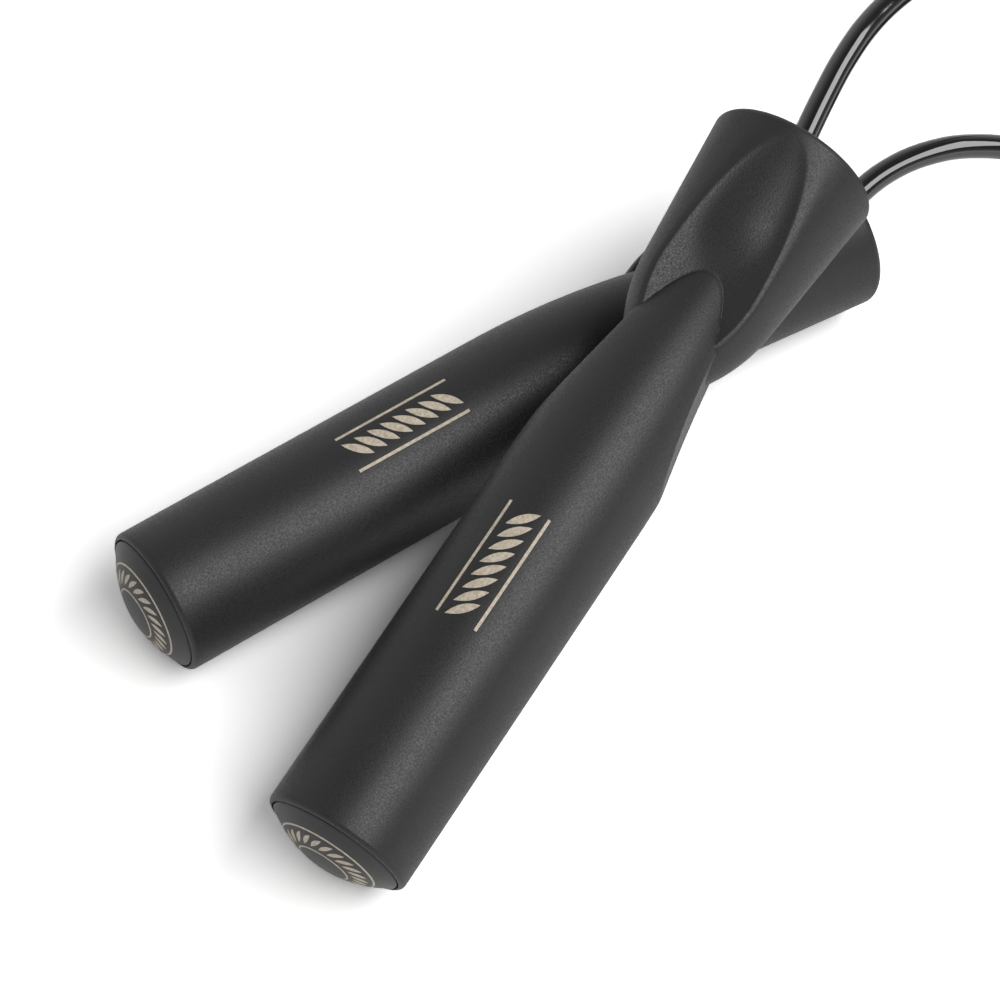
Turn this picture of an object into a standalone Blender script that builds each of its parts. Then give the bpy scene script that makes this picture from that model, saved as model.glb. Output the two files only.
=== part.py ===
"""Jump rope: two moulded handles with ball bearing heads on one round PVC cord.

Metres, +Z up.  The handles lie crossed near their heads, the upper one leaning on the
lower one.  +X runs along the bisector of the two handles, from the rear caps to the
heads.  The origin is under the middle of the box of the two handles, on the surface
that they lie on.  Each handle is modelled along its own +Z, from the rear rim to the head.
"""

import math

import bmesh
import bpy
from mathutils import Euler, Matrix, Vector

MM = 0.001

# Handle shell, rear rim at 0 and head rim at HANDLE_LENGTH
HANDLE_LENGTH = 160 * MM
GRIP_RADIUS = 14.5 * MM
REAR_LIP_RADIUS = 1.1 * MM
OGIVE_START = 80 * MM
OGIVE_RADIUS = 195 * MM
GRIP_END = 134 * MM
HEAD_RADIUS = 17.3 * MM
HEAD_RIM_ROUND = 1.4 * MM
HEAD_HALF_ANGLE = math.radians(5.2)
BULLET_START = 108 * MM
BULLET_TANGENT = 128 * MM
BULLET_RADIUS = 37 * MM

# Flat scoops on the sides of the grip, and leaf scoops in the head
FACET_START = 87 * MM
FACET_SLOPE = math.radians(-15.6)
FACET_LONG_RADIUS = 190 * MM
FACET_CROSS_RADIUS = 400 * MM
LEAF_TIP = 157 * MM
LEAF_TIP_RADIUS = 17 * MM
LEAF_SLOPE = math.radians(22.8)
LEAF_LONG_RADIUS = 140 * MM
LEAF_CROSS_RADIUS = 28 * MM
SCOOP_HALF_WIDTH = 20 * MM
SCOOP_DEPTH = 30 * MM
SCOOP_CROSS_STEPS = 10
SCOOP_LONG_STEPS = 15
SCOOP_LOW = math.radians(-22)
SCOOP_HIGH = math.radians(28)

# Hollow of the shell
CAP_SEAT_RADIUS = 13.5 * MM
CAP_SEAT_DEPTH = 3.6 * MM
GRIP_BORE_RADIUS = 12.2 * MM
GRIP_BORE_END = 78 * MM
WAIST_BORE_RADIUS = 6 * MM
WAIST_BORE_START = 103 * MM
STOP_ROOM_START = 134 * MM
STOP_ROOM_RADIUS = 7.4 * MM
BEARING_SEAT_START = 146.4 * MM
BEARING_SEAT_RADIUS = 11.25 * MM
FRONT_RECESS_START = 154 * MM
FRONT_RECESS_RADIUS = 13.4 * MM

# Rear cap, a domed plug
DOME_HEIGHT = 4.3 * MM
CAP_RADIUS = 13.2 * MM
CAP_FLANGE = 3.3 * MM
PLUG_RADIUS = 11.9 * MM
PLUG_WALL = 1.6 * MM
PLUG_DEPTH = 9 * MM
CAP_FLOOR = 1.6 * MM

# Head cap, a pressed cover that keeps the bearing in
HEAD_CAP_RADIUS = 13.1 * MM
HEAD_CAP_START = 154.3 * MM
HEAD_CAP_FRONT = 157.6 * MM
HEAD_CAP_EDGE = 0.8 * MM
COLLAR_RADIUS = 7.6 * MM
COLLAR_FRONT = 158.9 * MM
CORD_WINDOW_RADIUS = 4.9 * MM

# Ball bearing, 8 mm bore, 22 mm outside, 7 mm wide
BEARING_MIDDLE = 150.2 * MM
BEARING_HALF_WIDTH = 3.5 * MM
BEARING_OUTER_RADIUS = 11 * MM
BEARING_BORE_RADIUS = 4 * MM
PITCH_RADIUS = 7.5 * MM
BALL_RADIUS = 1.985 * MM
BALL_COUNT = 7
RACE_GAP = 0.15 * MM
OUTER_LAND_RADIUS = 8.6 * MM
INNER_LAND_RADIUS = 6.35 * MM
RING_CHAMFER = 0.4 * MM
CAGE_INNER_RADIUS = 6.75 * MM
CAGE_OUTER_RADIUS = 8.2 * MM
CAGE_BACK = -2.9 * MM
CAGE_FRONT = 1 * MM
CAGE_POCKET_RADIUS = 2.15 * MM

# Cord, its bush, washer and crimped stop
CORD_RADIUS = 2.5 * MM
CORD_HOLE_RADIUS = 2.85 * MM
BUSH_RADIUS = 3.72 * MM
BUSH_FLANGE_RADIUS = 5.7 * MM
BUSH_FLANGE_BACK = 145.1 * MM
BUSH_FLANGE_FRONT = 146.4 * MM
BUSH_FRONT = 158.4 * MM
WASHER_RADIUS = 6.3 * MM
WASHER_BACK = 143.6 * MM
WASHER_FRONT = 144.8 * MM
STOP_RADIUS = 4.2 * MM
STOP_BACK = 136 * MM
STOP_FRONT = 143.3 * MM
STOP_CRIMP = 0.6 * MM
STOP_COLLAR = 1.7 * MM
STOP_SLOPE = 1 * MM
CORD_TAIL_START = 135.2 * MM
CORD_TAIL_END = 157 * MM

# Where the handles lie: rear rim centre, heading, tilt and roll about their own axis
UPPER_REAR = Vector((-83.91, -30.92, 13.92)) * MM
UPPER_HEADING = math.radians(10.72)
UPPER_TILT = math.radians(13.2)
UPPER_ROLL = math.radians(9.8)
LOWER_REAR = Vector((-71.07, 30.96, 14.48)) * MM
LOWER_HEADING = math.radians(-10.98)
LOWER_TILT = math.radians(0.97)
LOWER_ROLL = math.radians(-10.8)

# The cord's free stretches, from each head to the coil
UPPER_ROUTE_MM = (
    (75.8, 1, 52),
    (81.8, 3, 53.5),
    (87.8, 5, 55),
    (95.3, 7, 56.3),
    (103.3, 8.6, 57),
    (110.8, 9.3, 57),
    (119, 9.8, 55.8),
    (129, 10.5, 52),
    (141, 11.4, 45),
    (154, 12.2, 36.4),
    (166, 12.6, 28.8),
    (176, 12, 23.9),
    (186.4, 9.9, 21),
)
LOWER_ROUTE_MM = (
    (96.8, 0.6, 19.6),
    (105.8, -2.2, 22.6),
    (114.8, -7, 22.9),
    (123.8, -12.8, 20.4),
    (132.6, -19.8, 14.8),
    (140.8, -28.4, 8),
    (147.5, -37.4, 4.3),
)
ROUTE_STEP = 10 * MM
MEET_GAP = 0.3 * MM

# Coil of the length that is put away, four layers on a strap
COIL_CENTRE = Vector((188.3, -31.6, 0)) * MM
COIL_LAYERS = 4
COIL_FULL_TURNS = 14
COIL_START_ANGLE = math.radians(206.7)
COIL_END_ANGLE = math.radians(72)
COIL_OUTER_RADIUS = 38.9 * MM
COIL_PITCH = 5.5 * MM
COIL_LAYER_STEP = 5.6 * MM
COIL_POINTS_PER_TURN = 24
COIL_CLIMB_TURNS = 0.5
COIL_LEAD = 2 * CORD_RADIUS

# Strap round the coil
TIE_ANGLE = math.radians(330)
TIE_THICKNESS = 1 * MM
TIE_WIDTH = 10 * MM
TIE_INNER = 15.9 * MM
TIE_OUTER = 40.6 * MM
TIE_CORNER = 3 * MM
TIE_CLEARANCE = 0.3 * MM

# Fineness of round forms: steps round a turned piece and along its arcs
MERGE = 0.000001
SHELL_SEGMENTS = 48
SMALL_SEGMENTS = 30
FINE_SEGMENTS = 20
CAGE_SEGMENTS = 4 * BALL_COUNT
LIP_STEPS = 3
OGIVE_STEPS = 9
BULLET_STEPS = 8
RIM_STEPS = 4
DOME_STEPS = 6
RACE_STEPS = 4
TIE_CORNER_STEPS = 4
BALL_FINENESS = 2
SPAN_STEPS = 40
RUN_BEVEL = 3
COIL_BEVEL = 1
SHARP_ANGLE = math.radians(30)
CARVED_SHARP_ANGLE = math.radians(25)


def arc(centre_radius, centre_height, radius, start, end, steps):
    """Points (radius, height) on a circle from one angle to another, in degrees."""
    points = []
    for i in range(steps + 1):
        angle = math.radians(start + (end - start) * i / steps)
        points.append((centre_radius + radius * math.cos(angle), centre_height + radius * math.sin(angle)))
    return points


def mesh_of(name, bm):
    """A mesh with closed seams and outward faces from a bmesh."""
    bmesh.ops.remove_doubles(bm, verts=bm.verts, dist=MERGE)
    bmesh.ops.recalc_face_normals(bm, faces=bm.faces)
    mesh = bpy.data.meshes.new(name)
    bm.to_mesh(mesh)
    bm.free()
    mesh.shade_smooth()
    mesh.set_sharp_from_angle(angle=SHARP_ANGLE)
    return mesh


def turned(name, profile, segments=SMALL_SEGMENTS, phase=0.0):
    """Solid turned about +Z from (radius, height) points, a loop or a chain from axis to axis."""
    bm = bmesh.new()
    verts = [bm.verts.new((r * math.cos(phase), r * math.sin(phase), z)) for r, z in profile]
    edges = [bm.edges.new(pair) for pair in zip(verts, verts[1:])]
    if profile[0][0] > 0:
        edges.append(bm.edges.new((verts[-1], verts[0])))
    bmesh.ops.spin(
        bm, geom=verts + edges, cent=(0, 0, 0), axis=(0, 0, 1),
        angle=math.tau, steps=segments, use_merge=True,
    )
    return mesh_of(name, bm)


def scoop(name, start_height, start_radius, slope, long_radius, cross_radius):
    """Barrel shaped cutter that lies along the handle, on its +X side."""
    centre = Vector((
        start_radius + long_radius * math.cos(slope), 0, start_height - long_radius * math.sin(slope),
    ))
    bm = bmesh.new()
    verts = []
    for i in range(SCOOP_CROSS_STEPS + 1):
        y = SCOOP_HALF_WIDTH * (2 * i / SCOOP_CROSS_STEPS - 1)
        reach = long_radius - cross_radius + math.sqrt(cross_radius ** 2 - y ** 2)
        verts.append(bm.verts.new((centre.x - reach, y, centre.z)))
    back = centre.x - long_radius + SCOOP_DEPTH
    verts.append(bm.verts.new((back, SCOOP_HALF_WIDTH, centre.z)))
    verts.append(bm.verts.new((back, -SCOOP_HALF_WIDTH, centre.z)))
    face = bm.faces.new(verts)
    bmesh.ops.rotate(bm, verts=bm.verts, cent=centre, matrix=Matrix.Rotation(SCOOP_LOW, 3, "Y"))
    bmesh.ops.spin(
        bm, geom=[face] + list(face.edges) + list(face.verts), cent=centre, axis=(0, 1, 0),
        angle=SCOOP_HIGH - SCOOP_LOW, steps=SCOOP_LONG_STEPS,
    )
    return mesh_of(name, bm)


def helper(mesh, turn=0.0):
    """An operand for a Boolean, turned about +Z."""
    ob = bpy.data.objects.new(mesh.name, mesh)
    ob.rotation_euler = Euler((0, 0, turn))
    ob.hide_render = True
    ob.display_type = "WIRE"
    bpy.context.collection.objects.link(ob)
    return ob


def carved(name, base, operations):
    """The mesh of a base object after a list of (operation, operand) Booleans."""
    for operation, operand in operations:
        modifier = base.modifiers.new(operand.name, "BOOLEAN")
        modifier.operation = operation
        modifier.object = operand
    bpy.context.view_layer.update()
    evaluated = base.evaluated_get(bpy.context.evaluated_depsgraph_get())
    mesh = bpy.data.meshes.new_from_object(evaluated)
    mesh.name = name
    mesh.shade_smooth()
    mesh.set_sharp_from_angle(angle=CARVED_SHARP_ANGLE)
    return mesh


def grip_profile():
    """Rear lip, straight grip and the ogive that runs on under the head."""
    lip = arc(GRIP_RADIUS - REAR_LIP_RADIUS, REAR_LIP_RADIUS, REAR_LIP_RADIUS, -90, 0, LIP_STEPS)
    reach = math.degrees(math.asin((GRIP_END - OGIVE_START) / OGIVE_RADIUS))
    ogive = arc(GRIP_RADIUS - OGIVE_RADIUS, OGIVE_START, OGIVE_RADIUS, 0, reach, OGIVE_STEPS)
    return [(0, 0)] + lip + ogive + [(0, GRIP_END)]


def head_profile():
    """Bullet nose towards the grip, gentle cone and rounded head rim."""
    rise = math.tan(HEAD_HALF_ANGLE)
    tangent_radius = HEAD_RADIUS - rise * (HANDLE_LENGTH - BULLET_TANGENT)
    centre_radius = tangent_radius - BULLET_RADIUS * math.cos(HEAD_HALF_ANGLE)
    centre_height = BULLET_TANGENT + BULLET_RADIUS * math.sin(HEAD_HALF_ANGLE)
    low = math.degrees(math.asin((BULLET_START - centre_height) / BULLET_RADIUS))
    high = -math.degrees(HEAD_HALF_ANGLE)
    bullet = arc(centre_radius, centre_height, BULLET_RADIUS, low, high, BULLET_STEPS)
    rim_height = HANDLE_LENGTH - HEAD_RIM_ROUND
    rim_radius = HEAD_RADIUS - rise * HEAD_RIM_ROUND - HEAD_RIM_ROUND
    rim = arc(rim_radius, rim_height, HEAD_RIM_ROUND, high, 90, RIM_STEPS)
    return [(0, BULLET_START)] + bullet + rim + [(0, HANDLE_LENGTH)]


def bore_profile():
    """Hollow of the shell from the rear cap's seat to the front recess."""
    past = 1 * MM
    return [
        (0, -past),
        (CAP_SEAT_RADIUS, -past),
        (CAP_SEAT_RADIUS, CAP_SEAT_DEPTH),
        (GRIP_BORE_RADIUS, CAP_SEAT_DEPTH),
        (GRIP_BORE_RADIUS, GRIP_BORE_END),
        (WAIST_BORE_RADIUS, WAIST_BORE_START),
        (WAIST_BORE_RADIUS, STOP_ROOM_START),
        (STOP_ROOM_RADIUS, STOP_ROOM_START),
        (STOP_ROOM_RADIUS, BEARING_SEAT_START),
        (BEARING_SEAT_RADIUS, BEARING_SEAT_START),
        (BEARING_SEAT_RADIUS, FRONT_RECESS_START),
        (FRONT_RECESS_RADIUS, FRONT_RECESS_START),
        (FRONT_RECESS_RADIUS, HANDLE_LENGTH + past),
        (0, HANDLE_LENGTH + past),
    ]


def shell_mesh():
    """Grip with two side facets, joined to a head with two leaf scoops, and bored through."""
    half_step = math.pi / SHELL_SEGMENTS
    grip = helper(turned("grip", grip_profile(), SHELL_SEGMENTS))
    head = helper(turned("head", head_profile(), SHELL_SEGMENTS, half_step))
    bore = helper(turned("bore", bore_profile(), SMALL_SEGMENTS, half_step / 2))
    facet = scoop("facet", FACET_START, GRIP_RADIUS, FACET_SLOPE, FACET_LONG_RADIUS, FACET_CROSS_RADIUS)
    leaf = scoop("leaf", LEAF_TIP, LEAF_TIP_RADIUS, LEAF_SLOPE, LEAF_LONG_RADIUS, LEAF_CROSS_RADIUS)
    facets = [helper(facet, math.pi / 2), helper(facet, -math.pi / 2)]
    leaves = [helper(leaf), helper(leaf, math.pi)]
    head_mesh = carved("head_with_leaves", head, [("DIFFERENCE", ob) for ob in leaves])
    grip_mesh = carved("grip_with_facets", grip, [("DIFFERENCE", ob) for ob in facets])
    scooped_head = helper(head_mesh)
    scooped_grip = helper(grip_mesh)
    mesh = carved("handle_shell", scooped_grip, [("UNION", scooped_head), ("DIFFERENCE", bore)])
    for ob in [grip, head, bore, scooped_head, scooped_grip] + facets + leaves:
        bpy.data.objects.remove(ob)
    return mesh


def end_cap_mesh():
    """Domed rear plug with a flange in the shell's seat and a hollow skirt."""
    dome_radius = (CAP_RADIUS ** 2 + DOME_HEIGHT ** 2) / (2 * DOME_HEIGHT)
    edge = math.degrees(math.asin(CAP_RADIUS / dome_radius))
    dome = arc(0, dome_radius - DOME_HEIGHT, dome_radius, -90, edge - 90, DOME_STEPS)
    inner = PLUG_RADIUS - PLUG_WALL
    profile = [(0, -DOME_HEIGHT)] + dome[1:] + [
        (CAP_RADIUS, CAP_FLANGE),
        (PLUG_RADIUS, CAP_FLANGE),
        (PLUG_RADIUS, PLUG_DEPTH),
        (inner, PLUG_DEPTH),
        (inner, CAP_FLOOR),
        (0, CAP_FLOOR),
    ]
    return turned("end_cap", profile, SMALL_SEGMENTS)


def head_cap_mesh():
    """Front cover with a raised collar round the window that the cord turns in."""
    profile = [
        (CORD_WINDOW_RADIUS, HEAD_CAP_START),
        (HEAD_CAP_RADIUS, HEAD_CAP_START),
        (HEAD_CAP_RADIUS, HEAD_CAP_FRONT - HEAD_CAP_EDGE),
        (HEAD_CAP_RADIUS - HEAD_CAP_EDGE, HEAD_CAP_FRONT),
        (COLLAR_RADIUS, HEAD_CAP_FRONT),
        (COLLAR_RADIUS - HEAD_CAP_EDGE, COLLAR_FRONT),
        (CORD_WINDOW_RADIUS, COLLAR_FRONT),
    ]
    return turned("head_cap", profile)


def ring_mesh(name, back_radius, land_radius, side):
    """Bearing ring with a round race: side is 1 for the outer ring and -1 for the inner one."""
    race = BALL_RADIUS + RACE_GAP
    depth = side * (land_radius - PITCH_RADIUS)
    half_angle = math.degrees(math.acos(depth / race))
    middle = 0 if side > 0 else 180
    first = middle + side * half_angle
    last = middle - side * half_angle
    groove = arc(PITCH_RADIUS, BEARING_MIDDLE, race, first, last, RACE_STEPS)
    top = BEARING_MIDDLE + BEARING_HALF_WIDTH
    bottom = BEARING_MIDDLE - BEARING_HALF_WIDTH
    chamfer = back_radius - side * RING_CHAMFER
    profile = [(land_radius, top)] + groove + [
        (land_radius, bottom),
        (chamfer, bottom),
        (back_radius, bottom + RING_CHAMFER),
        (back_radius, top - RING_CHAMFER),
        (chamfer, top),
    ]
    return turned(name, profile)


def ball_place(index):
    """Middle of one ball on the pitch circle."""
    angle = math.tau * index / BALL_COUNT
    return Vector((PITCH_RADIUS * math.cos(angle), PITCH_RADIUS * math.sin(angle), BEARING_MIDDLE))


def ball_mesh(name, radius, places):
    """Balls of one radius at the given places."""
    bm = bmesh.new()
    for place in places:
        bmesh.ops.create_icosphere(
            bm, subdivisions=BALL_FINENESS, radius=radius, matrix=Matrix.Translation(place),
        )
    return mesh_of(name, bm)


def cage_mesh():
    """Crown cage: a ring with an open pocket for each ball."""
    ring = helper(turned("cage_ring", [
        (CAGE_INNER_RADIUS, BEARING_MIDDLE + CAGE_BACK),
        (CAGE_OUTER_RADIUS, BEARING_MIDDLE + CAGE_BACK),
        (CAGE_OUTER_RADIUS, BEARING_MIDDLE + CAGE_FRONT),
        (CAGE_INNER_RADIUS, BEARING_MIDDLE + CAGE_FRONT),
    ], CAGE_SEGMENTS, math.pi / CAGE_SEGMENTS))
    places = [ball_place(i) for i in range(BALL_COUNT)]
    pockets = helper(ball_mesh("pockets", CAGE_POCKET_RADIUS, places))
    mesh = carved("bearing_cage", ring, [("DIFFERENCE", pockets)])
    bpy.data.objects.remove(ring)
    bpy.data.objects.remove(pockets)
    return mesh


def bush_mesh():
    """Flanged sleeve through the bearing's bore, flared where the cord leaves it."""
    flare = 0.5 * MM
    profile = [
        (CORD_HOLE_RADIUS, BUSH_FLANGE_BACK),
        (BUSH_FLANGE_RADIUS, BUSH_FLANGE_BACK),
        (BUSH_FLANGE_RADIUS, BUSH_FLANGE_FRONT),
        (BUSH_RADIUS, BUSH_FLANGE_FRONT),
        (BUSH_RADIUS, BUSH_FRONT),
        (CORD_HOLE_RADIUS + flare, BUSH_FRONT),
        (CORD_HOLE_RADIUS, BUSH_FRONT - 2 * flare),
    ]
    return turned("cord_bush", profile, FINE_SEGMENTS)


def washer_mesh():
    """Plain washer between the bush and the stop."""
    profile = [
        (CORD_HOLE_RADIUS, WASHER_BACK),
        (WASHER_RADIUS, WASHER_BACK),
        (WASHER_RADIUS, WASHER_FRONT),
        (CORD_HOLE_RADIUS, WASHER_FRONT),
    ]
    return turned("cord_washer", profile, FINE_SEGMENTS)


def stop_mesh():
    """Ferrule on the cord's end, waisted by its crimp."""
    waist = STOP_RADIUS - STOP_CRIMP
    shoulder = STOP_COLLAR + STOP_SLOPE
    profile = [
        (CORD_HOLE_RADIUS, STOP_BACK),
        (STOP_RADIUS, STOP_BACK),
        (STOP_RADIUS, STOP_BACK + STOP_COLLAR),
        (waist, STOP_BACK + shoulder),
        (waist, STOP_FRONT - shoulder),
        (STOP_RADIUS, STOP_FRONT - STOP_COLLAR),
        (STOP_RADIUS, STOP_FRONT),
        (CORD_HOLE_RADIUS, STOP_FRONT),
    ]
    return turned("cord_stop", profile, FINE_SEGMENTS)


def material(name, colour, roughness, metallic=0.0):
    """A Principled material of one colour."""
    made = bpy.data.materials.new(name)
    made.use_nodes = True
    shader = made.node_tree.nodes["Principled BSDF"]
    shader.inputs["Base Color"].default_value = (*colour, 1)
    shader.inputs["Roughness"].default_value = roughness
    shader.inputs["Metallic"].default_value = metallic
    return made


def piece(name, data, finish, parent=None):
    """One named sub-part."""
    ob = bpy.data.objects.new(name, data)
    ob.parent = parent
    bpy.context.collection.objects.link(ob)
    if not data.materials:
        data.materials.append(finish)
    return ob


def handle_axis(name, rear, heading, tilt, roll):
    """Empty at the centre of a handle's rear rim, with +Z along the handle's axis."""
    turn = Matrix.Rotation(heading, 4, "Z") @ Matrix.Rotation(math.pi / 2 - tilt, 4, "Y")
    empty = bpy.data.objects.new(name, None)
    empty.location = rear
    empty.rotation_euler = (turn @ Matrix.Rotation(roll, 4, "Z")).to_euler()
    bpy.context.collection.objects.link(empty)
    bpy.context.view_layer.update()
    return empty


def smooth_route(points, step):
    """Points at an even step along a smooth curve through the route's points."""
    tangents = []
    for i, point in enumerate(points):
        before = points[max(i - 1, 0)]
        after = points[min(i + 1, len(points) - 1)]
        tangents.append((after - before).normalized())
    fine = []
    for i in range(len(points) - 1):
        span = (points[i + 1] - points[i]).length
        for k in range(SPAN_STEPS):
            t = k / SPAN_STEPS
            h1 = 2 * t ** 3 - 3 * t ** 2 + 1
            h2 = t ** 3 - 2 * t ** 2 + t
            h3 = t ** 3 - t ** 2
            leave = points[i] * h1 + tangents[i] * (h2 * span)
            arrive = points[i + 1] * (1 - h1) + tangents[i + 1] * (h3 * span)
            fine.append(leave + arrive)
    fine.append(points[-1])
    along = [0.0]
    for a, b in zip(fine, fine[1:]):
        along.append(along[-1] + (b - a).length)
    count = max(2, round(along[-1] / step))
    route = []
    k = 0
    for i in range(count + 1):
        target = along[-1] * i / count
        while k < len(along) - 2 and along[k + 1] < target:
            k += 1
        t = (target - along[k]) / (along[k + 1] - along[k])
        route.append(fine[k].lerp(fine[k + 1], min(max(t, 0), 1)))
    return route


def tube(name, points, finish, bevel):
    """Round cord along a list of points, with filled ends."""
    curve = bpy.data.curves.new(name, "CURVE")
    curve.dimensions = "3D"
    curve.bevel_depth = CORD_RADIUS
    curve.bevel_resolution = bevel
    curve.use_fill_caps = True
    spline = curve.splines.new("POLY")
    spline.points.add(len(points) - 1)
    for slot, point in zip(spline.points, points):
        slot.co = (*point, 1)
    return piece(name, curve, finish)


def length_of(points):
    """Length of a chain of points."""
    return sum((b - a).length for a, b in zip(points, points[1:]))


def coil_points():
    """One unbroken spiral: in, out, in and out again, a layer higher at each reversal."""
    turns = COIL_FULL_TURNS + (COIL_END_ANGLE - COIL_START_ANGLE) / math.tau
    per_layer = turns / COIL_LAYERS
    count = round(turns * COIL_POINTS_PER_TURN)
    base = TIE_THICKNESS + TIE_CLEARANCE + CORD_RADIUS
    points = []
    for i in range(count + 1):
        done = turns * i / count
        layer = min(int(done / per_layer), COIL_LAYERS - 1)
        inward = done - layer * per_layer
        if layer % 2:
            inward = per_layer - inward
        radius = COIL_OUTER_RADIUS - COIL_PITCH * inward
        height = base
        for reversal in range(1, COIL_LAYERS):
            t = (done - reversal * per_layer) / COIL_CLIMB_TURNS + 0.5
            t = min(max(t, 0), 1)
            height += COIL_LAYER_STEP * (3 * t ** 2 - 2 * t ** 3)
        angle = COIL_START_ANGLE + math.tau * done
        points.append(COIL_CENTRE + Vector((radius * math.cos(angle), radius * math.sin(angle), height)))
    start = Vector((-math.sin(COIL_START_ANGLE), math.cos(COIL_START_ANGLE), 0))
    end = Vector((-math.sin(COIL_END_ANGLE), math.cos(COIL_END_ANGLE), 0))
    return [points[0] - start * COIL_LEAD] + points + [points[-1] + end * COIL_LEAD], start, end


def least_self_gap(points):
    """Smallest clearance between stretches of the coil that aren't neighbours."""
    apart = COIL_POINTS_PER_TURN // 2
    least = 1.0
    for i, point in enumerate(points):
        for other in points[i + apart:]:
            least = min(least, (other - point).length)
    return least - 2 * CORD_RADIUS


def tie_mesh():
    """Flat strap closed round the coil's bundle, lying on its wide underside."""
    top = TIE_THICKNESS + 2 * TIE_CLEARANCE + 2 * CORD_RADIUS + COIL_LAYER_STEP * (COIL_LAYERS - 1)
    bm = bmesh.new()
    edges = []
    for grow in (0, TIE_THICKNESS):
        corner = TIE_CORNER + grow
        left = TIE_INNER - grow + corner
        right = TIE_OUTER + grow - corner
        low = TIE_THICKNESS - grow + corner
        high = top + grow - corner
        loop = arc(right, low, corner, -90, 0, TIE_CORNER_STEPS)
        loop += arc(right, high, corner, 0, 90, TIE_CORNER_STEPS)
        loop += arc(left, high, corner, 90, 180, TIE_CORNER_STEPS)
        loop += arc(left, low, corner, 180, 270, TIE_CORNER_STEPS)
        verts = [bm.verts.new((x, -TIE_WIDTH / 2, z)) for x, z in loop]
        edges += [bm.edges.new(pair) for pair in zip(verts, verts[1:] + verts[:1])]
    band = bmesh.ops.bridge_loops(bm, edges=edges)["faces"]
    grown = bmesh.ops.extrude_face_region(bm, geom=band)["geom"]
    moved = [item for item in grown if isinstance(item, bmesh.types.BMVert)]
    bmesh.ops.translate(bm, verts=moved, vec=(0, TIE_WIDTH, 0))
    return mesh_of("coil_tie", bm)


def build_handle(prefix, axis, meshes, finishes):
    """All the pieces that one handle holds."""
    for part_name, mesh in meshes.items():
        piece(prefix + "_" + part_name, mesh, finishes[part_name], axis)
    for i in range(BALL_COUNT):
        ball = ball_mesh("bearing_ball", BALL_RADIUS, [ball_place(i)])
        piece("%s_bearing_ball_%d" % (prefix, i + 1), ball, finishes["ball"], axis)


def build_cord(upper_axis, lower_axis, finish, tie_finish):
    """The two free stretches, the coil between them and the strap round the coil."""
    coil, start, end = coil_points()
    runs = {}
    for name, axis, route, meet in (
        ("upper_cord_run", upper_axis, UPPER_ROUTE_MM, coil[-1] + end * MEET_GAP),
        ("lower_cord_run", lower_axis, LOWER_ROUTE_MM, coil[0] - start * MEET_GAP),
    ):
        tail = [axis.matrix_world @ Vector((0, 0, z)) for z in (CORD_TAIL_START, CORD_TAIL_END)]
        outside = [Vector(point) * MM for point in route]
        straight = tail[0].lerp(tail[1], 0.5)
        runs[name] = smooth_route([tail[0], straight, tail[1]] + outside + [meet], ROUTE_STEP)
        tube(name, runs[name], finish, RUN_BEVEL)
    tube("cord_coil", coil, finish, COIL_BEVEL)
    tie = piece("coil_tie", tie_mesh(), tie_finish)
    tie.location = COIL_CENTRE
    tie.rotation_euler = Euler((0, 0, TIE_ANGLE))
    total = length_of(coil) + sum(length_of(run) for run in runs.values())
    print("coil least gap to itself, mm: %.3f" % (least_self_gap(coil) / MM))
    print("cord length, m: %.3f" % total)


def main():
    for ob in list(bpy.data.objects):
        bpy.data.objects.remove(ob)
    black = material("black_moulded_plastic", (0.035, 0.035, 0.036), 0.5)
    cap_black = material("black_cap_plastic", (0.03, 0.03, 0.031), 0.42)
    steel = material("bearing_steel", (0.56, 0.57, 0.58), 0.22, 1.0)
    nylon = material("natural_nylon", (0.72, 0.70, 0.64), 0.45)
    zinc = material("zinc_plated_steel", (0.62, 0.63, 0.64), 0.35, 1.0)
    pvc = material("black_pvc_cord", (0.012, 0.012, 0.013), 0.12)
    webbing = material("black_strap", (0.02, 0.02, 0.021), 0.85)
    meshes = {
        "handle_shell": shell_mesh(),
        "end_cap": end_cap_mesh(),
        "head_cap": head_cap_mesh(),
        "bearing_outer_ring": ring_mesh("outer_ring", BEARING_OUTER_RADIUS, OUTER_LAND_RADIUS, 1),
        "bearing_inner_ring": ring_mesh("inner_ring", BEARING_BORE_RADIUS, INNER_LAND_RADIUS, -1),
        "bearing_cage": cage_mesh(),
        "cord_bush": bush_mesh(),
        "cord_washer": washer_mesh(),
        "cord_stop": stop_mesh(),
    }
    finishes = {
        "handle_shell": black,
        "end_cap": cap_black,
        "head_cap": cap_black,
        "bearing_outer_ring": steel,
        "bearing_inner_ring": steel,
        "bearing_cage": nylon,
        "cord_bush": nylon,
        "cord_washer": zinc,
        "cord_stop": zinc,
        "ball": steel,
    }
    upper = handle_axis("upper_handle_axis", UPPER_REAR, UPPER_HEADING, UPPER_TILT, UPPER_ROLL)
    lower = handle_axis("lower_handle_axis", LOWER_REAR, LOWER_HEADING, LOWER_TILT, LOWER_ROLL)
    build_handle("upper", upper, meshes, finishes)
    build_handle("lower", lower, meshes, finishes)
    build_cord(upper, lower, pvc, webbing)


main()
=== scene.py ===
"""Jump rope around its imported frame: crossed handles, cord and strapped coil on a pale floor."""

import math

import bmesh
import bpy
import numpy as np
from mathutils import Matrix, Vector


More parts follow.
